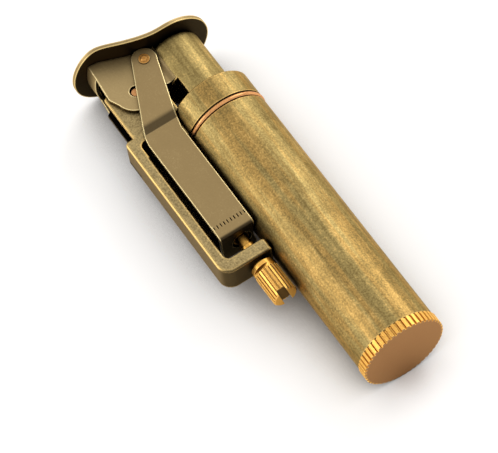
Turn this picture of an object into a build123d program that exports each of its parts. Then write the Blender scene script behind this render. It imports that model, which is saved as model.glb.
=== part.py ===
from build123d import *
from math import cos, pi, radians, sin
import os

# Semi-automatic petrol lighter. Lengths in mm.
# It is drawn standing up: Z runs along the tank axis from the filler cap's end face to the lid,
# X points from the tank axis to the lever and screw side, Y is the lighter's width.
# lay_down() turns every part into the stored frame: lying on its side, +Z up, length along +X.

# Tank
TUBE_R = 8.0
TUBE_WALL = 0.6
TUBE_BORE_R = TUBE_R - TUBE_WALL
TUBE_Z0 = 2.2
TUBE_Z1 = 56.35
FIT_GAP = 0.02

# Head of the tank: collar, groove and copper ring
COLLAR_R = 8.1
COLLAR_Z0 = 57.65
COLLAR_Z1 = 63.0
COLLAR_CHAMFER = 0.25
NECK_R = 7.7
SPIGOT_Z0 = 50.0
HEAD_BORE_R = 6.4
HEAD_FLOOR_Z = 60.8
RING_Z = 57.0
RING_MEAN_R = 7.75
RING_WIRE_R = 0.45

# Filler cap, its insert and gasket
CAP_R = 8.2
CAP_H = 2.15
CAP_CHAMFER = 0.12
CAP_RIBS = 48
CAP_RIB_DEPTH = 0.34
CAP_THREAD_R = 5.95
CAP_THREAD_TOP = 7.2
CAP_THREAD_PITCH = 1.0
CAP_THREAD_DEPTH = 0.3
CAP_CORE_R = 4.6
CAP_CORE_Z = 3.4
INSERT_Z0 = 3.0
INSERT_Z1 = 8.0
INSERT_BORE_R = 6.0
GASKET_R = 7.3
GASKET_BORE_R = 6.05
GASKET_Z1 = 2.95

# Wick and filling
WICK_R = 1.65
WICK_Z0 = 12.0
WICK_Z1 = 67.6
WICK_TUBE_R = 2.2
WICK_TUBE_BORE_R = 1.7
WICK_TUBE_Z0 = 58.0
WICK_TUBE_Z1 = 65.0
PACKING_R = 7.3
PACKING_Z0 = 9.0
PACKING_Z1 = 49.0

# Frame: two pivot plates, side bar and screw foot in one piece
SHEET = 0.8
FRAME_HALF_W = 3.1
PLATE_OUT_X = 16.3
PLATE_IN_X = 6.2
PLATE_SHOULDER_Z = 72.9
PLATE_TOP = [(13.6, 74.6), (8.2, 74.6)]
PLATE_IN_TOP_Z = 72.5
PLATE_DOME_R = 4.8
PLATE_DOME_W = 7.0
PLATE_DOME_Z = 72.0
PLATE_LOW_Z = 61.3
PLATE_LOW_X = 14.2
PLATE_ROOT_X = 13.0
PLATE_ROOT_Z = 57.9
BAR_OUT_X = 18.2
BAR_IN_X = 16.0
BAR_TOP_Z = 63.0
FOOT_END_X = 8.2
FOOT_Z0 = 29.4
FOOT_Z1 = 32.1
FOOT_OUT_R = 2.5
FOOT_IN_R = 1.0
FOOT_END_R = 0.7
BAR_TOP_R = 1.0
BAR_CORNER_R = 1.2
BAR_EDGE_R = 0.4
SCREW_HOLE_R = 1.55

# Pivot and lever
PIVOT_X = 10.8
PIVOT_Z = 70.7
PIVOT_R = 1.1
PIVOT_HALF = 3.55
PIVOT_DOME = 0.25
CHEEK_HOLE_R = 1.15
CHEEK_IN = 3.17
CHEEK_OUT = CHEEK_IN + SHEET
CHEEK_ROUND_R = 4.1
CHEEK_LOW_Z = 68.6
CHEEK_EDGE = [(15.35, 77.0), (15.75, 72.0), (15.5, 71.3), (14.6, 69.4)]
CHEEK_INBOARD_X = 2.6
FRONT_WALL_X0 = 14.75
FRONT_WALL_Z0 = 77.3
NOSE_X = 15.2
NOSE_RISE = 0.65
BLEND_R = 2.5

# Lid: an S-curved plate with a round lobe over the snuffer and a thumb lobe
LID_HALF_W = 8.2
LID_LOBE_X = 10.4
LID_THICK = 0.75
LID_FLAT = [(-9.0, 77.4), (1.5, 77.4)]
LID_RISE = [(5.0, 77.9), (8.5, 79.0), (12.0, 80.4)]
LID_PEAK = (15.6, 81.1)
LID_END = (19.5, 80.9)

# Snuffer cup over the wick
CUP_R = 5.55
CUP_WALL = 0.6
CUP_Z0 = 63.05
CUP_TOP_Z = 76.6
CUP_ROUND = 1.2
CUP_ROOF = 0.8
WINDOW_X = 3.1
WINDOW_TOP_Z = 68.3

# Yoke: strap, step and wide plate on each side, joined by a web
RIVET_X = 6.15
RIVET_Z = 74.95
RIVET_R = 0.8
RIVET_HEAD_R = 1.05
RIVET_SHOULDER_R = 1.35
RIVET_RIM_H = 0.16
RIVET_BOSS_R = 0.66
RIVET_BOSS_H = 0.42
RIVET_BOSS_DOME = 0.2
RIVET_RUN = 0.05
STRAP_R = 2.4
STRAP_IN = 4.3
STRAP_OUT = STRAP_IN + SHEET
YOKE_IN = 3.3
YOKE_OUT = YOKE_IN + SHEET
YOKE_X0 = 8.0
YOKE_X1 = 15.0
YOKE_Z0 = 35.4
YOKE_BEND_R = 0.8
YOKE_LOW_EDGE_Z = 59.4
YOKE_MID_Z = 61.2
YOKE_MID_X = (7.6, 14.7)
YOKE_HIGH_Z = 62.9
YOKE_HIGH_X = (7.3, 14.0)
STRAP_SIDES = [(8.35, 75.85), (3.86, 74.3)]
STEP_Z0 = 61.5
STEP_Z1 = 63.1
STEP_SHIFT = 0.35
STEP_OUTER_R = 2.0
STEP_INNER_R = 0.2
WEB_TUBE_GAP_R = 8.45
WEB_HOLE_R = 2.0
TICKS = 10
TICK_W = 0.22
TICK_LEN = 0.75
TICK_DEPTH = 0.2
TICK_Z = 37.6

# Flint parts, all on the screw's axis below the wheel
FLINT_TUBE_R = 1.7
FLINT_TUBE_BORE_R = 1.3
FLINT_TUBE_Z0 = 35.7
FLINT_TUBE_Z1 = 66.9
FLINT_R = 1.2
FLINT_Z0 = 61.02
FLINT_Z1 = 67.05
PLUNGER_Z0 = 59.0
PLUNGER_STEM_R = 0.6
PLUNGER_STEM_Z0 = 57.0
FLINT_SPRING_R = 0.9
FLINT_SPRING_WIRE_R = 0.17
FLINT_SPRING_Z0 = 46.2
FLINT_SPRING_Z1 = 58.8
FLINT_SPRING_COILS = 11

# Knurled flint screw
KNOB_R = 2.45
KNOB_Z0 = 21.2
KNOB_Z1 = 27.2
KNOB_RIBS = 22
KNOB_RIB_DEPTH = 0.24
KNOB_CHAMFER = 0.25
KNOB_COLLAR_R = 2.35
KNOB_TOP_Z = 28.7
KNOB_CUT_W = 0.7
KNOB_CUT_DEPTH = 0.75
KNOB_CUT_ANGLE = 57
SCREW_THREAD_R = 1.5
SCREW_THREAD_Z1 = 32.2
SCREW_LAND_R = 1.42
SCREW_LAND_Z1 = 33.5
SCREW_PITCH = 0.5
SCREW_THREAD_DEPTH = 0.2
SHANK_R = 1.15
SHANK_Z1 = 46.0
SHANK_TIP_R = 0.6
SHANK_TIP_Z1 = 47.6
SLOT_W = 1.7
SLOT_DEPTH = 0.9
SLOT_ANGLE = -12

# Return spring between the yoke's web and the seat plate
SPRING_R = 2.2
SPRING_WIRE_R = 0.2
SPRING_COILS = 13
SEAT_Z0 = 58.0
SEAT_Z1 = 58.8
SEAT_X0 = 8.35
SEAT_X1 = 13.2
SEAT_HALF_W = 2.27

# Flint wheel, ratchet wheel and spacer on the pivot pin
PLATE_IN = FRAME_HALF_W - SHEET
WHEEL_R = 3.6
WHEEL_HALF_W = 1.2
WHEEL_TEETH = 34
WHEEL_TOOTH = 0.3
WHEEL_BORE_R = 1.13
RATCHET_R = 2.9
RATCHET_ROOT_R = 2.3
RATCHET_TEETH = 10
RATCHET_W = 0.9
SPACER_R = 1.9
SIDE_PLAY = 0.03

# Leaf pawl under the lever's web
PAWL_TIP_GAP = 0.06
PAWL_TIP_LOW = 2.55
PAWL_TIP_HIGH = 3.0
PAWL_ROOT_X = 6.2
PAWL_ROOT_W = 0.7
PAWL_ROOT_Z = 77.4
PAWL_BEND_Z = 76.0
PAWL_HALF_W = 0.4

FAR = 60.0
TOP = 100.0


def disc(radius, z0, z1, x=0.0):
    """Cylinder along Z between two heights."""
    return Pos(x, 0, z0) * Cylinder(radius, z1 - z0, align=(Align.CENTER, Align.CENTER, Align.MIN))


def ring(outer, inner, z0, z1, x=0.0):
    """Tube along Z between two heights."""
    return disc(outer, z0, z1, x) - disc(inner, z0 - 1, z1 + 1, x)


def block(x0, x1, y0, y1, z0, z1):
    """Box between two corners."""
    return Pos((x0 + x1) / 2, (y0 + y1) / 2, (z0 + z1) / 2) * Box(x1 - x0, y1 - y0, z1 - z0)


def slab(outline, y0, y1):
    """Plate between two Y values whose outline is drawn in X and Z."""
    flat = Pos(0, 0, -y1) * outline
    return Rot(90, 0, 0) * extrude(flat, amount=y1 - y0, dir=(0, 0, 1))


def pin(x, z, radius, y0, y1):
    """Cylinder along Y between two Y values."""
    return slab(Pos(x, z) * Circle(radius), y0, y1)


def both_sides(part):
    """The part and its mirror image across the plane Y = 0."""
    return part + mirror(part, about=Plane.XZ)


def ribbed_outline(radius, depth, count):
    """Round outline with evenly spaced shallow grooves."""
    step = 2 * pi / count
    points = []
    for i in range(count):
        for part, r in ((0.0, radius), (0.5, radius), (0.62, radius - depth), (0.88, radius - depth)):
            angle = (i + part) * step
            points.append((r * cos(angle), r * sin(angle)))
    return Polygon(*points, align=None)


def saw_outline(tip, root, count, first_angle):
    """Ratchet outline: each tooth rises square at its start and slopes down clockwise."""
    step = 2 * pi / count
    points = []
    for i in range(count):
        angle = first_angle - i * step
        points.append((root * cos(angle), root * sin(angle)))
        points.append((tip * cos(angle), tip * sin(angle)))
    return Polygon(*points, align=None)


def coil(mean_r, wire_r, z0, z1, turns, x):
    """Helical spring standing between two heights."""
    height = z1 - z0 - 2 * wire_r
    path = Helix(pitch=height / turns, height=height, radius=mean_r)
    start = Plane(origin=path @ 0, z_dir=path % 0)
    wire = sweep(start * Circle(wire_r), path=path)
    return Pos(x, 0, z0 + wire_r) * wire


def screw_thread(radius, depth, pitch, z0, z1):
    """Threaded rod along Z with the thread drawn as closed V-rings."""
    points = [(0, z0), (radius, z0)]
    turns = int((z1 - z0) / pitch)
    for i in range(turns):
        low = z0 + i * pitch
        points.append((radius, low + 0.3 * pitch))
        points.append((radius - depth, low + 0.6 * pitch))
        points.append((radius, low + 0.9 * pitch))
    points.append((radius, z1))
    points.append((0, z1))
    profile = Rot(90, 0, 0) * make_face(Polyline(*points, close=True))
    return revolve(profile, axis=Axis.Z)


def under_lid(drop, low_z):
    """Area below the lid's top curve lowered by a distance, down to a level."""
    points = [(x, z - drop) for x, z in (*LID_FLAT, *LID_RISE, LID_PEAK, LID_END)]
    top = Line(points[0], points[1])
    top += Spline(*points[1:-1], tangents=[(1, 0), (1, 0)])
    top += Spline(*points[-2:], tangents=[(1, 0), (1, -0.1)])
    sides = Polyline(points[-1], (points[-1][0], low_z), (points[0][0], low_z), points[0])
    return make_face(top + sides)


def make_tank_head():
    """Collar with a spigot that closes the tube, bored from below."""
    body = disc(COLLAR_R, COLLAR_Z0, COLLAR_Z1)
    body = chamfer(body.edges().sort_by(Axis.Z)[-1], COLLAR_CHAMFER)
    body += disc(NECK_R, TUBE_Z1, COLLAR_Z0)
    body += disc(TUBE_BORE_R - FIT_GAP, SPIGOT_Z0, TUBE_Z1)
    body -= disc(HEAD_BORE_R, SPIGOT_Z0 - 1, HEAD_FLOOR_Z)
    return body - disc(WICK_TUBE_R, HEAD_FLOOR_Z - 1, COLLAR_Z1 + 1)


def make_joint_ring():
    """Half-round copper ring in the groove under the collar."""
    section = Rot(90, 0, 0) * (Pos(RING_MEAN_R, RING_Z) * Circle(RING_WIRE_R))
    return revolve(section, axis=Axis.Z) - disc(NECK_R + FIT_GAP, RING_Z - 1, RING_Z + 1)


def make_filler_cap():
    """Knurled cap with a hollow threaded spigot."""
    rim = extrude(ribbed_outline(CAP_R, CAP_RIB_DEPTH, CAP_RIBS), amount=CAP_H)
    blank = disc(CAP_R, 0, CAP_H)
    rim = rim & chamfer(blank.edges().sort_by(Axis.Z)[0], CAP_CHAMFER)
    spigot = screw_thread(CAP_THREAD_R, CAP_THREAD_DEPTH, CAP_THREAD_PITCH, CAP_H, CAP_THREAD_TOP)
    return rim + spigot - disc(CAP_CORE_R, CAP_CORE_Z, CAP_THREAD_TOP + 1)


def corner(outline, x, z):
    """The outline's corner nearest to a point."""
    return outline.vertices().sort_by_distance((x, z, 0))[0]


def make_frame():
    """Pivot plates, side bar and screw foot."""
    bar = Polygon(
        (BAR_IN_X, FOOT_Z1), (FOOT_END_X, FOOT_Z1), (FOOT_END_X, FOOT_Z0),
        (BAR_OUT_X, FOOT_Z0), (BAR_OUT_X, BAR_TOP_Z), (BAR_IN_X, BAR_TOP_Z), align=None)
    bar = fillet(corner(bar, BAR_OUT_X, FOOT_Z0), FOOT_OUT_R)
    bar = fillet(corner(bar, BAR_IN_X, FOOT_Z1), FOOT_IN_R)
    bar = fillet(corner(bar, FOOT_END_X, FOOT_Z1), FOOT_END_R)
    bar = fillet(corner(bar, BAR_OUT_X, BAR_TOP_Z), BAR_TOP_R)
    body = slab(bar, -FRAME_HALF_W, FRAME_HALF_W)
    outer = body.edges().filter_by(
        lambda e: abs(e.center().Y) > FRAME_HALF_W - 0.01 and e.center().X > BAR_OUT_X - FOOT_OUT_R)
    body = fillet(outer, BAR_EDGE_R)
    body -= disc(SCREW_HOLE_R, FOOT_Z0 - 1, FOOT_Z1 + 1, PIVOT_X)
    plate = Polygon(
        (PLATE_IN_X, PLATE_ROOT_Z), (PLATE_ROOT_X, PLATE_ROOT_Z), (PLATE_LOW_X, PLATE_LOW_Z),
        (BAR_IN_X, PLATE_LOW_Z), (BAR_IN_X, PLATE_ROOT_Z), (PLATE_OUT_X, PLATE_ROOT_Z),
        (PLATE_OUT_X, PLATE_SHOULDER_Z), *PLATE_TOP, (PLATE_IN_X, PLATE_IN_TOP_Z), align=None)
    plate = fillet(corner(plate, BAR_IN_X, PLATE_LOW_Z), BAR_CORNER_R)
    dome = Pos(PIVOT_X, PIVOT_Z) * Circle(PLATE_DOME_R)
    plate += dome & Pos(PIVOT_X, PLATE_DOME_Z + PLATE_DOME_R) * Rectangle(PLATE_DOME_W, 2 * PLATE_DOME_R)
    plate -= Pos(PIVOT_X, PIVOT_Z) * Circle(PIVOT_R)
    side = slab(plate, PLATE_IN, FRAME_HALF_W) - disc(COLLAR_R, SPIGOT_Z0, COLLAR_Z1 + FIT_GAP)
    return body + both_sides(side)


def make_lever():
    """Two cheeks joined by a web under the lid and a low front wall."""
    top = CHEEK_EDGE[0][1] + 5
    side = Polygon(
        (CHEEK_EDGE[0][0] - 0.25, top), *CHEEK_EDGE, (PIVOT_X, CHEEK_LOW_Z),
        (CHEEK_INBOARD_X, CHEEK_LOW_Z), (CHEEK_INBOARD_X, top), align=None)
    body = slab(side, -CHEEK_OUT, CHEEK_OUT) + pin(PIVOT_X, PIVOT_Z, CHEEK_ROUND_R, -CHEEK_OUT, CHEEK_OUT)
    body = body & slab(under_lid(LID_THICK, PIVOT_Z - 10), -FAR, FAR)
    hollow = under_lid(LID_THICK + SHEET, PIVOT_Z - 10)
    hollow = slab(hollow, -CHEEK_IN, CHEEK_IN)
    nose_r = (CHEEK_OUT ** 2 + NOSE_RISE ** 2) / (2 * NOSE_RISE)
    nose_x = NOSE_X + NOSE_RISE - nose_r
    nose = disc(nose_r, FRONT_WALL_Z0, TOP, nose_x) & block(NOSE_X, FAR, -CHEEK_OUT, CHEEK_OUT, 0, TOP)
    body += nose & slab(under_lid(LID_THICK, PIVOT_Z - 10), -FAR, FAR)
    body -= hollow - block(FRONT_WALL_X0, FAR, -FAR, FAR, FRONT_WALL_Z0, TOP)
    body -= hollow & disc(nose_r - SHEET, FRONT_WALL_Z0 - 1, TOP, nose_x)
    reach = CUP_R + BLEND_R
    blend_x = (reach ** 2 - (CHEEK_OUT + BLEND_R) ** 2) ** 0.5
    start_x = blend_x * CUP_R / reach
    web = under_lid(LID_THICK, CHEEK_LOW_Z)
    joint = block(start_x, blend_x, CHEEK_IN, CHEEK_OUT + BLEND_R, CHEEK_LOW_Z, TOP)
    joint -= Pos(0, CHEEK_OUT + BLEND_R, 0) * disc(BLEND_R, CHEEK_LOW_Z - 1, TOP + 1, blend_x)
    body += both_sides(joint) & slab(web, -FAR, FAR)
    body -= disc(CUP_R, PIVOT_Z - CHEEK_ROUND_R - 1, TOP)
    body -= pin(PIVOT_X, PIVOT_Z, CHEEK_HOLE_R, -FAR, FAR)
    return body - pin(RIVET_X, RIVET_Z, RIVET_R, -FAR, FAR)


def make_lid():
    """S-curved plate cut to two round lobes of the same width."""
    strip = slab(under_lid(0, 60) - under_lid(LID_THICK, 59), -FAR, FAR)
    plan = Circle(LID_HALF_W) + Pos(LID_LOBE_X, 0) * Circle(LID_HALF_W)
    plan += Pos(LID_LOBE_X / 2, 0) * Rectangle(LID_LOBE_X, 2 * LID_HALF_W)
    return strip & extrude(Pos(0, 0, 60) * plan, amount=FAR)


def make_snuffer():
    """Cup over the wick, open towards the flint wheel near its mouth."""
    outside = disc(CUP_R, CUP_Z0, CUP_TOP_Z)
    outside = fillet(outside.edges().sort_by(Axis.Z)[-1], CUP_ROUND)
    body = outside - disc(CUP_R - CUP_WALL, CUP_Z0 - 1, CUP_TOP_Z - CUP_ROOF)
    return body - block(WINDOW_X, FAR, -FAR, FAR, CUP_Z0 - 1, WINDOW_TOP_Z)


def make_yoke():
    """Stirrup that hangs from the lever and pulls up against the return spring."""
    outline = Polygon(
        (YOKE_X0, YOKE_Z0), (YOKE_X1, YOKE_Z0), (YOKE_X1, YOKE_LOW_EDGE_Z),
        (YOKE_MID_X[1], YOKE_MID_Z), (YOKE_HIGH_X[1], YOKE_HIGH_Z), *STRAP_SIDES,
        (YOKE_HIGH_X[0], YOKE_HIGH_Z), (YOKE_MID_X[0], YOKE_MID_Z), (YOKE_X0, YOKE_LOW_EDGE_Z), align=None)
    outline += Pos(RIVET_X, RIVET_Z) * Circle(STRAP_R)
    outline -= Pos(RIVET_X, RIVET_Z) * Circle(RIVET_R + RIVET_RUN)
    section = Polygon(
        (YOKE_IN, YOKE_Z0), (YOKE_OUT, YOKE_Z0), (YOKE_OUT, STEP_Z0), (STRAP_OUT, STEP_Z1),
        (STRAP_OUT, TOP), (STRAP_IN, TOP), (STRAP_IN, STEP_Z1 + STEP_SHIFT),
        (YOKE_IN, STEP_Z0 + STEP_SHIFT), align=None)
    section = fillet(corner(section, STRAP_OUT, STEP_Z1), STEP_OUTER_R)
    section = fillet(corner(section, YOKE_OUT, STEP_Z0), STEP_INNER_R)
    bent = extrude(Plane.YZ * section, amount=FAR)
    side = slab(outline, YOKE_IN, STRAP_OUT) & bent
    for i in range(TICKS):
        x = YOKE_X0 + (i + 0.5) * (YOKE_X1 - YOKE_X0) / TICKS
        side -= block(x - TICK_W / 2, x + TICK_W / 2, YOKE_OUT - TICK_DEPTH, FAR, TICK_Z, TICK_Z + TICK_LEN)
    web = block(YOKE_X0, YOKE_X1, -YOKE_IN, YOKE_IN, YOKE_Z0, YOKE_Z0 + SHEET)
    web -= disc(WEB_TUBE_GAP_R, YOKE_Z0 - 1, YOKE_Z0 + 2)
    web -= disc(WEB_HOLE_R, YOKE_Z0 - 1, YOKE_Z0 + 2, PIVOT_X)
    body = both_sides(side) + web
    corners = body.edges().filter_by(Axis.X).filter_by(
        lambda e: abs(e.center().Z - YOKE_Z0) < 0.01 and abs(e.center().Y) > YOKE_OUT - 0.01)
    return fillet(corners, YOKE_BEND_R)


def make_rivet():
    """Shouldered rivet with a peened end on the lever's cheek, outside one side of the yoke."""
    head_y = STRAP_OUT + RIVET_RUN
    shank = pin(RIVET_X, RIVET_Z, RIVET_R, CHEEK_IN, head_y)
    shoulder = pin(RIVET_X, RIVET_Z, RIVET_SHOULDER_R, CHEEK_OUT, STRAP_IN - RIVET_RUN)
    rim = pin(RIVET_X, RIVET_Z, RIVET_HEAD_R, head_y, head_y + RIVET_RIM_H)
    boss = pin(RIVET_X, RIVET_Z, RIVET_BOSS_R, head_y, head_y + RIVET_BOSS_H)
    boss = chamfer(boss.edges().sort_by(Axis.Y)[-1], RIVET_BOSS_DOME)
    return shank + shoulder + rim + boss


def make_pivot_pin():
    """Plain pin with domed ends, pressed into the frame's plates."""
    body = pin(PIVOT_X, PIVOT_Z, PIVOT_R, -PIVOT_HALF, PIVOT_HALF)
    rims = body.edges().sort_by(Axis.Y)
    return chamfer([rims[0], rims[-1]], PIVOT_DOME)


def make_flint_screw():
    """Knurled head with a driver slot and a saw cut, thread, plain shank and spring tip."""
    ribs = extrude(ribbed_outline(KNOB_R, KNOB_RIB_DEPTH, KNOB_RIBS), amount=KNOB_Z1 - KNOB_Z0)
    blank = disc(KNOB_R, 0, KNOB_Z1 - KNOB_Z0)
    ribs = ribs & chamfer(blank.edges().sort_by(Axis.Z)[0], KNOB_CHAMFER)
    body = Pos(0, 0, KNOB_Z0) * ribs
    slot = block(-SLOT_W / 2, SLOT_W / 2, -FAR, FAR, KNOB_Z0 - 1, KNOB_Z0 + SLOT_DEPTH)
    body -= Rot(0, 0, SLOT_ANGLE) * slot
    body += disc(KNOB_COLLAR_R, KNOB_Z1, KNOB_TOP_Z)
    cut_x = KNOB_COLLAR_R - KNOB_CUT_DEPTH
    body -= Rot(0, 0, KNOB_CUT_ANGLE) * block(cut_x, FAR, -FAR, FAR, KNOB_Z1, KNOB_Z1 + KNOB_CUT_W)
    body += screw_thread(SCREW_THREAD_R, SCREW_THREAD_DEPTH, SCREW_PITCH, KNOB_TOP_Z, SCREW_THREAD_Z1)
    body += disc(SCREW_LAND_R, SCREW_THREAD_Z1, SCREW_LAND_Z1)
    body += disc(SHANK_R, SCREW_LAND_Z1, SHANK_Z1)
    body += disc(SHANK_TIP_R, SHANK_Z1, SHANK_TIP_Z1)
    return Pos(PIVOT_X, 0, 0) * body


def make_plunger():
    """Push button between the flint and its spring, with a guide stem."""
    head = disc(FLINT_R, PLUNGER_Z0, FLINT_Z0 - FIT_GAP, PIVOT_X)
    return head + disc(PLUNGER_STEM_R, PLUNGER_STEM_Z0, PLUNGER_Z0, PIVOT_X)


def make_flint_wheel():
    """Finely toothed wheel centred over the flint."""
    outline = ribbed_outline(WHEEL_R, WHEEL_TOOTH, WHEEL_TEETH) - Circle(WHEEL_BORE_R)
    return slab(Pos(PIVOT_X, PIVOT_Z) * outline, -WHEEL_HALF_W, WHEEL_HALF_W)


def make_ratchet_wheel():
    """Saw-toothed wheel fixed to the flint wheel's side."""
    outline = saw_outline(RATCHET_R, RATCHET_ROOT_R, RATCHET_TEETH, radians(90)) - Circle(WHEEL_BORE_R)
    low = -WHEEL_HALF_W - RATCHET_W
    return slab(Pos(PIVOT_X, PIVOT_Z) * outline, low, -WHEEL_HALF_W)


def make_wheel_spacer():
    """Washer that fills the gap between the wheel and the frame."""
    outline = Pos(PIVOT_X, PIVOT_Z) * (Circle(SPACER_R) - Circle(PIVOT_R + FIT_GAP))
    return slab(outline, WHEEL_HALF_W + SIDE_PLAY, PLATE_IN - SIDE_PLAY)


def make_pawl(lever):
    """Leaf from the web down to a square tooth face."""
    tip_x = PIVOT_X - PAWL_TIP_GAP
    leaf = Polygon(
        (tip_x, PIVOT_Z + PAWL_TIP_LOW), (tip_x, PIVOT_Z + PAWL_TIP_HIGH),
        (PAWL_ROOT_X + PAWL_ROOT_W, PAWL_BEND_Z + 0.1), (PAWL_ROOT_X + PAWL_ROOT_W, PAWL_ROOT_Z),
        (PAWL_ROOT_X, PAWL_ROOT_Z), (PAWL_ROOT_X, PAWL_BEND_Z), align=None)
    centre = -WHEEL_HALF_W - RATCHET_W / 2
    return slab(leaf, centre - PAWL_HALF_W, centre + PAWL_HALF_W) - lever


def make_spring_seat():
    """Bridge between the pivot plates that holds the flint tube."""
    body = block(SEAT_X0, SEAT_X1, -SEAT_HALF_W, SEAT_HALF_W, SEAT_Z0, SEAT_Z1)
    return body - disc(FLINT_TUBE_R, SEAT_Z0 - 1, SEAT_Z1 + 1, PIVOT_X)


def lay_down(part):
    """Turn the standing lighter onto its side, length along +X and centred, lowest point at Z = 0."""
    origin = (-LID_PEAK[1] / 2, -LID_LOBE_X / 2, CAP_R)
    lying = Plane(origin=origin, x_dir=(0, 1, 0), z_dir=(1, 0, 0))
    return lying.location * part


def build():
    """Every sub-part in the standing frame."""
    web_top = YOKE_Z0 + SHEET
    lever = make_lever()
    rivet = make_rivet()
    return {
        "tank_tube": ring(TUBE_R, TUBE_BORE_R, TUBE_Z0, TUBE_Z1),
        "tank_head": make_tank_head(),
        "joint_ring": make_joint_ring(),
        "base_insert": ring(TUBE_BORE_R - FIT_GAP, INSERT_BORE_R, INSERT_Z0, INSERT_Z1),
        "filler_gasket": ring(GASKET_R, GASKET_BORE_R, TUBE_Z0, GASKET_Z1),
        "filler_cap": make_filler_cap(),
        "cotton_packing": ring(PACKING_R, WICK_R + FIT_GAP, PACKING_Z0, PACKING_Z1),
        "wick": disc(WICK_R, WICK_Z0, WICK_Z1),
        "wick_tube": ring(WICK_TUBE_R - FIT_GAP, WICK_TUBE_BORE_R, WICK_TUBE_Z0, WICK_TUBE_Z1),
        "frame": make_frame(),
        "pivot_pin": make_pivot_pin(),
        "spring_seat": make_spring_seat(),
        "flint_tube": ring(FLINT_TUBE_R - FIT_GAP, FLINT_TUBE_BORE_R, FLINT_TUBE_Z0, FLINT_TUBE_Z1, PIVOT_X),
        "return_spring": coil(SPRING_R, SPRING_WIRE_R, web_top + 0.05, SEAT_Z0 - 0.05, SPRING_COILS, PIVOT_X),
        "wheel_spacer": make_wheel_spacer(),
        "flint_screw": make_flint_screw(),
        "flint_spring": coil(
            FLINT_SPRING_R, FLINT_SPRING_WIRE_R, FLINT_SPRING_Z0, FLINT_SPRING_Z1,
            FLINT_SPRING_COILS, PIVOT_X),
        "flint_plunger": make_plunger(),
        "flint": disc(FLINT_R, FLINT_Z0, FLINT_Z1, PIVOT_X),
        "flint_wheel": make_flint_wheel(),
        "ratchet_wheel": make_ratchet_wheel(),
        "lever_frame": lever,
        "lid_plate": make_lid(),
        "snuffer_cup": make_snuffer(),
        "ratchet_pawl": make_pawl(lever),
        "yoke": make_yoke(),
        "yoke_rivets": Compound(children=[rivet, mirror(rivet, about=Plane.XZ)]),
    }


os.makedirs("parts", exist_ok=True)
for node, part in build().items():
    export_step(lay_down(part), f"parts/{node}.step")
    print(node, round(part.volume, 2), len(part.solids()))
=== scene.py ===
from math import radians

import bpy
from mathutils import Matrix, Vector


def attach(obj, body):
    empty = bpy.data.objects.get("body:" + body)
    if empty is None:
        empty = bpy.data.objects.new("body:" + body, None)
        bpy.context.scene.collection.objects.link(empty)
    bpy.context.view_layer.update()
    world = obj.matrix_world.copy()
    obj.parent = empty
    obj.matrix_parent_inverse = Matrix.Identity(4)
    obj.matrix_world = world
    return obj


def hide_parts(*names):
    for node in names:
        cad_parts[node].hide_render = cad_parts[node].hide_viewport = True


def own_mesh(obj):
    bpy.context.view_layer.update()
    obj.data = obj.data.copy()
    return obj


MM = 0.001

# Camera: place in metres, turn in degrees, lens and sensor width in mm, seen distances in metres
CAMERA_AT = (-0.26111, 0.11870, 0.50512)
CAMERA_TURN = (29.21, 4.968, -122.965)
CAMERA_LENS = 231.3
CAMERA_SENSOR = 36.0
CAMERA_RANGE = (0.05, 10.0)

# Light: white room, broad key on the tank's side and strip on the screw's side, in metres and watts
ROOM_STRENGTH = 0.92
KEY = {"at": (0.36, -0.60, 0.45), "size": (0.50, 0.40), "power": 1.7}
STRIP = {"at": (0.36, 0.63, 0.34), "size": (0.60, 0.14), "power": 1.3}

# Floor, with a painted glow and painted contact shadow near the lighter
FLOOR_SIZE = 3.0
PAPER = (0.970, 0.955, 0.940)
PAPER_SHADE = (0.330, 0.300, 0.270)
PAPER_GLOW = 0.14
PAPER_ROUGH = 0.8

# Colours of the sheet brass, linear
TAN = (0.330, 0.232, 0.104)
TAN_DARK = (0.210, 0.142, 0.060)
LEVER_TAN = (0.430, 0.312, 0.144)
# Painted shade on the blend of cheek and cup
LEVER_ROOT_SHADE = (0.300, 0.215, 0.098)
PALE_GOLD = (0.900, 0.720, 0.360)
LID_GOLD = (0.860, 0.640, 0.270)
# Painted shade on the underside of the lid
LID_UNDER_SHADE = (0.022, 0.015, 0.010)
# Painted shade on faces turned towards the base
SHADE_BROWN = (0.060, 0.043, 0.022)

# Colours of the bar
BAR_TAN = (0.440, 0.330, 0.150)
BAR_DARK = (0.130, 0.090, 0.036)
BAR_GOLD = (0.820, 0.560, 0.200)
# Painted shade on the bar's outer flank
FLANK_SHADE = (0.175, 0.128, 0.068)

# Colours of the tank
OLIVE = (0.360, 0.268, 0.098)
OLIVE_WARM = (0.440, 0.272, 0.082)
OLIVE_DARK = (0.200, 0.138, 0.046)
OLIVE_GOLD = (0.720, 0.470, 0.160)

# Colours of the turned parts, the ring and the steel
ORANGE_GOLD = (0.920, 0.500, 0.105)
ORANGE_DARK = (0.400, 0.170, 0.030)
ORANGE_PALE = (0.960, 0.640, 0.240)
RIVET_BROWN = (0.560, 0.270, 0.070)
# Painted shade inside the knob's slot
SLOT_SHADE = (0.150, 0.085, 0.028)
CAP_FACE = (0.325, 0.166, 0.074)
COPPER = (0.800, 0.390, 0.150)
COPPER_DARK = (0.300, 0.110, 0.040)
COPPER_PALE = (0.950, 0.600, 0.340)
STEEL = (0.300, 0.300, 0.300)
STEEL_DARK = (0.080, 0.078, 0.075)
STEEL_PALE = (0.620, 0.610, 0.590)
# Near-black of the painted shade in crevices, hollows, grooves and the far pivot plate
SHADE_BLACK = (0.006, 0.0045, 0.003)

# Colours of the soft parts
GASKET_BLACK = (0.03, 0.03, 0.03)
GASKET_SHADE = (0.01, 0.01, 0.01)
COTTON_WHITE = (0.80, 0.77, 0.70)
COTTON_SHADE = (0.55, 0.52, 0.45)
YARN_CREAM = (0.70, 0.64, 0.50)
YARN_SHADE = (0.30, 0.26, 0.18)

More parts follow.
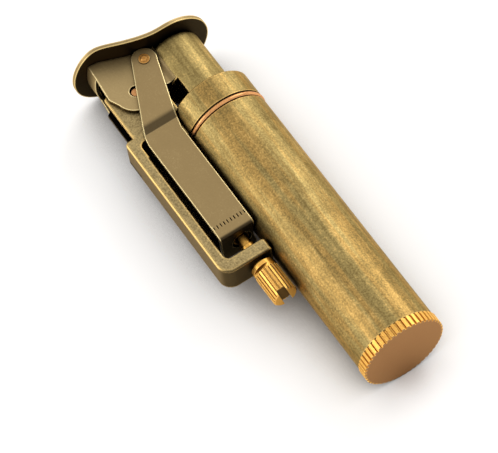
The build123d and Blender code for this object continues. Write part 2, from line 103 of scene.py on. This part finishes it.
# Sizes of the metal's patterns
CLOUD = 4.0 * MM
SPECK = 0.34 * MM
GRAIN = 0.16 * MM
STREAK = 1.1 * MM
STREAK_STRETCH = 14.0
BAND = 2.4 * MM
BAND_STRETCH = 18.0
CLOUD_SHARE = 0.3

# Values of the pattern between which a tone comes in
MID_FROM = (0.36, 0.58)
PALE_FROM = (0.54, 0.72)
WARM_FROM = (0.42, 0.60)

# Closed-in places of the metal, darkened as painted shade, and of the floor where the lighter
# stands,
# darkened as painted contact shadow: distance looked over, then the openness that counts as shut and
# as open
CREVICE = (0.7 * MM, 0.45, 0.92)
HOLLOW = (8.0 * MM, 0.22, 0.48)
CONTACT = (14.0 * MM, 0.15, 0.85)

# Worn edges, which also carry a painted highlight: parting of the normals where they start and are
# full, their even part and their speckle
EDGE_FROM = (0.003, 0.07)
WEAR_AND_HIGHLIGHT_EVEN = 0.6
WEAR_AND_HIGHLIGHT_SPECK = 0.8

# Widths of the worn edges with their painted highlight, and the share of them that is rounded off,
# up to a largest radius
FINE_EDGE = 0.12 * MM
RING_EDGE = 0.15 * MM
SHEET_EDGE = 0.4 * MM
BAR_EDGE = 0.9 * MM
SOFT_SHARE = 0.6
SOFT_EDGE = 0.25 * MM

# Rays of one look at the edges or at the openness
PROBES = 8

# Surface of the metal: spread of the roughness, polish of worn edges, bump, white in the glance
ROUGH_SPREAD = 0.12
WORN_POLISH = 0.12
GRAIN_BUMP = 0.05
GRAIN_DEPTH = 0.05 * MM
EDGE_WHITE = 0.45

# Surface of the fibres
FIBRE_FROM = (0.3, 0.7)
FIBRE_BUMP = 0.5
FIBRE_DEPTH = 0.1 * MM
FIBRE_ROUGH = 0.9

# Boxes in object space: far pivot plate, tick grooves, face around the ticks, slot of the knob
# The far pivot plate box gets painted shade
FAR_PLATE = ((17.4 * MM, -20 * MM, -1 * MM), (50 * MM, 20 * MM, 6.4 * MM))
# The tick grooves get painted shade
TICK_GROOVES = ((-3.0 * MM, 2.9 * MM, 4.12 * MM), (-2.15 * MM, 9.7 * MM, 12.285 * MM))
TICK_FACE = ((-3.3 * MM, 3.2 * MM, 3.0 * MM), (-1.9 * MM, 9.4 * MM, 13.0 * MM))
KNOB_SLOT = ((-19.25 * MM, 4.4 * MM, 6.1 * MM), (-18.35 * MM, 6.8 * MM, 10.3 * MM))

# Directions that pick out faces: normal, then the cosines where the mask starts and is full
END_FACE = ((-1.0, 0.0, 0.0), 0.15, 0.68)
# Flank of the bar, which gets painted shade
BAR_FLANK = ((-0.25, 0.97, 0.0), 0.5, 0.9)
# Rim of the bar, which gets a painted highlight
BAR_RIM = ((0.0, 0.72, 0.69), 0.80, 0.97)
CHEEK_BLEND = ((0.0, 0.42, 0.91), 0.93, 0.975)


def add(tree, kind, **settings):
    """A shader node; settings that start with in_ are values of its inputs."""
    node = tree.nodes.new(kind)
    for key, value in settings.items():
        if key.startswith("in_"):
            node.inputs[key[3:]].default_value = value
        else:
            setattr(node, key, value)
    return node


def noise(tree, vector, size, detail, rough, distortion=0.0):
    """Noise whose blobs are about size metres across."""
    node = add(tree, "ShaderNodeTexNoise", in_Scale=1.0 / size, in_Detail=detail, in_Roughness=rough,
               in_Distortion=distortion)
    tree.links.new(vector, node.inputs["Vector"])
    return node.outputs["Fac"]


def streaks(tree, place, size, stretch):
    """Noise drawn out along the lighter's length."""
    node = add(tree, "ShaderNodeMapping", in_Scale=(1.0 / stretch, 1.0, 1.0))
    tree.links.new(place, node.inputs["Vector"])
    return noise(tree, node.outputs["Vector"], size, detail=3.0, rough=0.6)


def ramp(tree, value, low, high):
    """Value stretched so that low gives 0 and high gives 1."""
    node = add(tree, "ShaderNodeMapRange", interpolation_type="SMOOTHSTEP")
    node.inputs["From Min"].default_value = low
    node.inputs["From Max"].default_value = high
    tree.links.new(value, node.inputs["Value"])
    return node.outputs["Result"]


def maths(tree, operation, a, b=0.0):
    """A maths node on two sockets or numbers."""
    node = add(tree, "ShaderNodeMath", operation=operation)
    for socket, value in zip(node.inputs, (a, b)):
        if isinstance(value, (int, float)):
            socket.default_value = value
        else:
            tree.links.new(value, socket)
    return node.outputs[0]


def plus(tree, a, b):
    """Sum of two sockets or numbers."""
    return maths(tree, "ADD", a, b)


def times(tree, a, b):
    """Product of two sockets or numbers."""
    return maths(tree, "MULTIPLY", a, b)


def one_less(tree, value):
    """1 less a value."""
    return maths(tree, "SUBTRACT", 1.0, value)


def mix(tree, factor, a, b):
    """Colour a where factor is 0 and b where it is 1."""
    node = add(tree, "ShaderNodeMix", data_type="RGBA")
    tree.links.new(factor, node.inputs["Factor"])
    for socket, value in ((node.inputs[6], a), (node.inputs[7], b)):
        if isinstance(value, tuple):
            socket.default_value = (*value, 1.0)
        else:
            tree.links.new(value, socket)
    return node.outputs[2]


def edge_mask(tree, radius):
    """1 on sharp edges of the shape and 0 on its faces."""
    bevel = add(tree, "ShaderNodeBevel", samples=PROBES, in_Radius=radius)
    geometry = add(tree, "ShaderNodeNewGeometry")
    dot = add(tree, "ShaderNodeVectorMath", operation="DOT_PRODUCT")
    tree.links.new(bevel.outputs["Normal"], dot.inputs[0])
    tree.links.new(geometry.outputs["Normal"], dot.inputs[1])
    return ramp(tree, one_less(tree, dot.outputs["Value"]), *EDGE_FROM)


def facing(tree, direction, low, high):
    """1 on faces that look along a direction and 0 on the others."""
    dot = add(tree, "ShaderNodeVectorMath", operation="DOT_PRODUCT")
    tree.links.new(add(tree, "ShaderNodeTexCoord").outputs["Normal"], dot.inputs[0])
    dot.inputs[1].default_value = direction
    return ramp(tree, dot.outputs["Value"], low, high)


def inside(tree, place, box):
    """1 within a box of object space and 0 outside it."""
    shift = add(tree, "ShaderNodeVectorMath", operation="SUBTRACT")
    tree.links.new(place, shift.inputs[0])
    shift.inputs[1].default_value = [(low + high) / 2 for low, high in zip(*box)]
    scaled = add(tree, "ShaderNodeVectorMath", operation="DIVIDE")
    tree.links.new(shift.outputs[0], scaled.inputs[0])
    scaled.inputs[1].default_value = [(high - low) / 2 for low, high in zip(*box)]
    split = add(tree, "ShaderNodeSeparateXYZ")
    tree.links.new(scaled.outputs[0], split.inputs[0])
    mask = 1.0
    for axis in "XYZ":
        within = maths(tree, "LESS_THAN", maths(tree, "ABSOLUTE", split.outputs[axis]), 1.0)
        mask = times(tree, mask, within)
    return mask


def openness(tree, distance, low, high):
    """1 on open faces and 0 on faces closed in within a distance."""
    node = add(tree, "ShaderNodeAmbientOcclusion", samples=PROBES, in_Distance=distance)
    return ramp(tree, node.outputs["AO"], low, high)


def new_material(name):
    """A material with its node tree and its shader."""
    material = bpy.data.materials.new(name)
    material.use_nodes = True
    return material, material.node_tree, material.node_tree.nodes["Principled BSDF"]


def object_place(tree):
    """Place of the shaded point in object space."""
    return add(tree, "ShaderNodeTexCoord").outputs["Object"]


def patina(tree, place, speck, mid, dark, pale, mottle, streak, warm):
    """Mottled colour of the faces: dark blotches and pale specks on the middle tone."""
    cloud = noise(tree, place, CLOUD, detail=5.0, rough=0.6, distortion=0.6)
    pattern = plus(tree, times(tree, cloud, CLOUD_SHARE), times(tree, speck, 1.0 - CLOUD_SHARE))
    if streak:
        swing = plus(tree, streaks(tree, place, STREAK, STREAK_STRETCH), -0.5)
        pattern = plus(tree, pattern, times(tree, swing, streak))
    if warm:
        bands = streaks(tree, place, BAND, BAND_STRETCH)
        mid = mix(tree, ramp(tree, bands, *WARM_FROM), mid, warm)
    darkness = times(tree, one_less(tree, ramp(tree, pattern, *MID_FROM)), mottle)
    low = mix(tree, one_less(tree, darkness), dark, mid)
    return mix(tree, times(tree, ramp(tree, pattern, *PALE_FROM), mottle), low, pale)


def grainy_normal(tree, place, edge):
    """Normal of faces with a fine grain and of softly rounded edges."""
    soft = add(tree, "ShaderNodeBevel", samples=PROBES, in_Radius=min(edge * SOFT_SHARE, SOFT_EDGE))
    bump = add(tree, "ShaderNodeBump", in_Strength=GRAIN_BUMP, in_Distance=GRAIN_DEPTH)
    grain = noise(tree, place, GRAIN, detail=2.0, rough=0.5)
    tree.links.new(grain, bump.inputs["Height"])
    tree.links.new(soft.outputs["Normal"], bump.inputs["Normal"])
    return bump.outputs["Normal"]


def metal(name, mid, dark, pale, rough, mottle, wear_and_highlight, edge=SHEET_EDGE, streak=0.0, warm=None,
          tones=(), calm_face=None, calm_box=None, shaded_box=None, crevice_shade=0.65):
    """Aged metal: mottled colour, painted shade in the corners and hollows, pale worn edges that
    also carry a painted highlight, and a fine grain.

    Each of the tones is a direction and the colour painted on the faces that look along it. The
    shaded box is a box and the colour of painted shade inside it.
    Edges get no wear or painted highlight on the calm face and in the calm box.
    """
    material, tree, shader = new_material(name)
    place = object_place(tree)
    speck = noise(tree, place, SPECK, detail=4.0, rough=0.7)
    colour = patina(tree, place, speck, mid, dark, pale, mottle, streak, warm)
    for faces, tone in tones:
        colour = mix(tree, facing(tree, *faces), colour, tone)
    crevice = openness(tree, *CREVICE)
    rim = edge_mask(tree, edge)
    if calm_face:
        rim = times(tree, rim, one_less(tree, facing(tree, *calm_face)))
    if calm_box:
        rim = times(tree, rim, one_less(tree, inside(tree, place, calm_box)))
    # Pale worn edges, which also stand for a painted highlight along the edges
    worn_and_lit = times(tree, rim, plus(tree, times(tree, speck, WEAR_AND_HIGHLIGHT_SPECK), WEAR_AND_HIGHLIGHT_EVEN))
    worn_and_lit = times(tree, worn_and_lit, crevice)
    colour = mix(tree, times(tree, worn_and_lit, wear_and_highlight), colour, pale)
    # Painted shade: the colour darkens towards black in crevices
    colour = mix(tree, plus(tree, times(tree, crevice, crevice_shade), 1.0 - crevice_shade), SHADE_BLACK, colour)
    # Painted shade: inside the shaded box the colour is replaced
    if shaded_box:
        colour = mix(tree, inside(tree, place, shaded_box[0]), colour, shaded_box[1])
    # Painted shade: black in the hollows
    colour = mix(tree, openness(tree, *HOLLOW), SHADE_BLACK, colour)
    tree.links.new(colour, shader.inputs["Base Color"])
    shader.inputs["Metallic"].default_value = 1.0
    glance = [EDGE_WHITE + (1 - EDGE_WHITE) * part for part in pale]
    shader.inputs["Specular Tint"].default_value = (*glance, 1.0)
    roughness = plus(tree, times(tree, speck, ROUGH_SPREAD), rough - ROUGH_SPREAD / 2)
    roughness = plus(tree, roughness, times(tree, worn_and_lit, -WORN_POLISH * wear_and_highlight))
    tree.links.new(roughness, shader.inputs["Roughness"])
    tree.links.new(grainy_normal(tree, place, edge), shader.inputs["Normal"])
    return material


def fibre(name, colour, shadow, size):
    """Matt woven or loose fibre."""
    material, tree, shader = new_material(name)
    place = object_place(tree)
    strands = noise(tree, place, size, detail=6.0, rough=0.7, distortion=2.0)
    woven = mix(tree, ramp(tree, strands, *FIBRE_FROM), shadow, colour)
    tree.links.new(woven, shader.inputs["Base Color"])
    shader.inputs["Roughness"].default_value = FIBRE_ROUGH
    bump = add(tree, "ShaderNodeBump", in_Strength=FIBRE_BUMP, in_Distance=FIBRE_DEPTH)
    tree.links.new(strands, bump.inputs["Height"])
    tree.links.new(bump.outputs["Normal"], shader.inputs["Normal"])
    return material


def paper():
    """White paper with a painted glow, and painted contact shadow where the lighter stands close."""
    material, tree, shader = new_material("paper")
    near = openness(tree, *CONTACT)
    tree.links.new(mix(tree, near, PAPER_SHADE, PAPER), shader.inputs["Base Color"])
    tree.links.new(times(tree, near, PAPER_GLOW), shader.inputs["Emission Strength"])
    shader.inputs["Emission Color"].default_value = (*PAPER, 1.0)
    shader.inputs["Roughness"].default_value = PAPER_ROUGH
    return material


def dress(node, material):
    """Gives a CAD node its material."""
    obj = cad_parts[node]
    obj.data.materials.clear()
    obj.data.materials.append(material)


def coil(node, body):
    """Stands in for a spring's solid with a copy of its mesh that rides with a body."""
    spring = bpy.data.objects.new(node + "_coil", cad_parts[node].data.copy())
    bpy.context.collection.objects.link(spring)
    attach(spring, body)
    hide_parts(node)
    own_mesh(spring)


def softbox(name, at, size, power):
    """Oblong softbox aimed at the middle of the floor."""
    light = bpy.data.lights.new(name, "AREA")
    light.shape = "RECTANGLE"
    light.size, light.size_y = size
    light.energy = power
    obj = bpy.data.objects.new(name, light)
    obj.location = at
    obj.rotation_euler = (-Vector(at)).to_track_quat("-Z", "Y").to_euler()
    bpy.context.collection.objects.link(obj)


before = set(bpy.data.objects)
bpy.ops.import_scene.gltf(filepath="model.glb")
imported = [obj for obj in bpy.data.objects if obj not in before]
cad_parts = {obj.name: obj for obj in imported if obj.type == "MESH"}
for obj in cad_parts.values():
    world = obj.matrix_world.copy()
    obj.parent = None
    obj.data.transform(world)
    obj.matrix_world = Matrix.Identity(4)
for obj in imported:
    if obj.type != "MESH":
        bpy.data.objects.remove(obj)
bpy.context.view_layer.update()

# Brass of the tank and the cup
tank_brass = metal("tank brass", OLIVE, OLIVE_DARK, OLIVE_GOLD, rough=0.44, mottle=0.95, wear_and_highlight=1.0,
                   streak=0.45, warm=OLIVE_WARM)
cup_brass = metal("cup brass", OLIVE, OLIVE_DARK, OLIVE_GOLD, rough=0.48, mottle=0.8, wear_and_highlight=0.8,
                  streak=0.6)

# Sheet brass of the mechanism
# Plate and lever brass: painted shade on faces turned towards the base
plate_brass = metal("plate brass", TAN, TAN_DARK, PALE_GOLD, rough=0.46, mottle=0.15, wear_and_highlight=1.0,
                    streak=0.1, tones=((END_FACE, SHADE_BROWN),), calm_box=TICK_FACE,
                    shaded_box=(TICK_GROOVES, SHADE_BLACK))
# Lever brass: painted shade also on the blend of cheek and cup, where the edges get no highlight
lever_brass = metal("lever brass", LEVER_TAN, TAN_DARK, PALE_GOLD, rough=0.46, mottle=0.15, wear_and_highlight=1.0,
                    streak=0.1, tones=((END_FACE, SHADE_BROWN), (CHEEK_BLEND, LEVER_ROOT_SHADE)),
                    calm_face=CHEEK_BLEND)
# Lid brass: painted shade on its underside
lid_brass = metal("lid brass", TAN, TAN_DARK, LID_GOLD, rough=0.46, mottle=0.3, wear_and_highlight=1.0,
                  tones=((END_FACE, LID_UNDER_SHADE),))
# Bar brass: painted highlight on its rounded rim, painted shade on its flank, on faces turned to the
# base and in the far pivot plate box
bar_brass = metal("bar brass", BAR_TAN, BAR_DARK, BAR_GOLD, rough=0.44, mottle=0.7, wear_and_highlight=1.0,
                  edge=BAR_EDGE, shaded_box=(FAR_PLATE, SHADE_BLACK),
                  tones=((BAR_FLANK, FLANK_SHADE), (BAR_RIM, BAR_GOLD), (END_FACE, SHADE_BROWN)))

# Turned parts, ring and steel
bright_brass = metal("bright brass", ORANGE_GOLD, ORANGE_DARK, ORANGE_PALE, rough=0.34, mottle=0.3,
                     wear_and_highlight=0.7, edge=FINE_EDGE)
# Knob brass: painted shade in its slot and, weaker, in its crevices
knob_brass = metal("knob brass", ORANGE_GOLD, ORANGE_DARK, ORANGE_PALE, rough=0.36, mottle=0.3,
                   wear_and_highlight=0.7, edge=FINE_EDGE, shaded_box=(KNOB_SLOT, SLOT_SHADE), crevice_shade=0.4)
cap_brass = metal("cap brass", ORANGE_GOLD, ORANGE_DARK, ORANGE_PALE, rough=0.40, mottle=0.3,
                  wear_and_highlight=0.6, edge=FINE_EDGE, tones=((END_FACE, CAP_FACE),), crevice_shade=0.3)
# Rivet brass: strong painted shade in the crevice around the boss
rivet_brass = metal("rivet brass", RIVET_BROWN, ORANGE_DARK, ORANGE_PALE, rough=0.36, mottle=0.6,
                    wear_and_highlight=0.7, edge=FINE_EDGE, crevice_shade=0.95)
copper = metal("copper", COPPER, COPPER_DARK, COPPER_PALE, rough=0.34, mottle=0.4, wear_and_highlight=0.6,
               edge=RING_EDGE)
steel = metal("steel", STEEL, STEEL_DARK, STEEL_PALE, rough=0.38, mottle=0.4, wear_and_highlight=0.8,
              edge=FINE_EDGE)

# Soft parts
gasket_fibre = fibre("gasket fibre", GASKET_BLACK, GASKET_SHADE, size=0.2 * MM)
cotton = fibre("cotton", COTTON_WHITE, COTTON_SHADE, size=0.6 * MM)
wick_yarn = fibre("wick yarn", YARN_CREAM, YARN_SHADE, size=0.3 * MM)

FINISHES = {
    "tank_tube": tank_brass,
    "tank_head": tank_brass,
    "joint_ring": copper,
    "base_insert": bright_brass,
    "filler_gasket": gasket_fibre,
    "filler_cap": cap_brass,
    "cotton_packing": cotton,
    "wick": wick_yarn,
    "wick_tube": bright_brass,
    "frame": bar_brass,
    "pivot_pin": copper,
    "spring_seat": bar_brass,
    "flint_tube": bright_brass,
    "return_spring": steel,
    "wheel_spacer": bright_brass,
    "flint_screw": knob_brass,
    "flint_spring": steel,
    "flint_plunger": bright_brass,
    "flint": steel,
    "flint_wheel": steel,
    "ratchet_wheel": steel,
    "lever_frame": lever_brass,
    "lid_plate": lid_brass,
    "snuffer_cup": cup_brass,
    "ratchet_pawl": steel,
    "yoke": plate_brass,
    "yoke_rivets": rivet_brass,
}
for node, finish in FINISHES.items():
    dress(node, finish)

# Springs as copies that ride with bodies: the return spring under the seat, the flint spring on the
# screw's end
coil("return_spring", "tank")
coil("flint_spring", "screw_spring")

# Floor
bpy.ops.mesh.primitive_plane_add(size=FLOOR_SIZE, location=(0, 0, 0))
floor = bpy.context.object
floor.name = "floor"
floor.data.materials.append(paper())

# Light
world = bpy.data.worlds.new("studio")
world.use_nodes = True
background = world.node_tree.nodes["Background"]
background.inputs["Color"].default_value = (1.0, 1.0, 1.0, 1.0)
background.inputs["Strength"].default_value = ROOM_STRENGTH
bpy.context.scene.world = world
softbox("key", **KEY)
softbox("strip", **STRIP)

# Camera
lens = bpy.data.cameras.new("camera")
lens.lens = CAMERA_LENS
lens.sensor_width = CAMERA_SENSOR
lens.clip_start, lens.clip_end = CAMERA_RANGE
camera = bpy.data.objects.new("camera", lens)
camera.location = CAMERA_AT
camera.rotation_euler = [radians(angle) for angle in CAMERA_TURN]
bpy.context.collection.objects.link(camera)
bpy.context.scene.camera = camera
bpy.context.scene.view_settings.view_transform = "Standard"
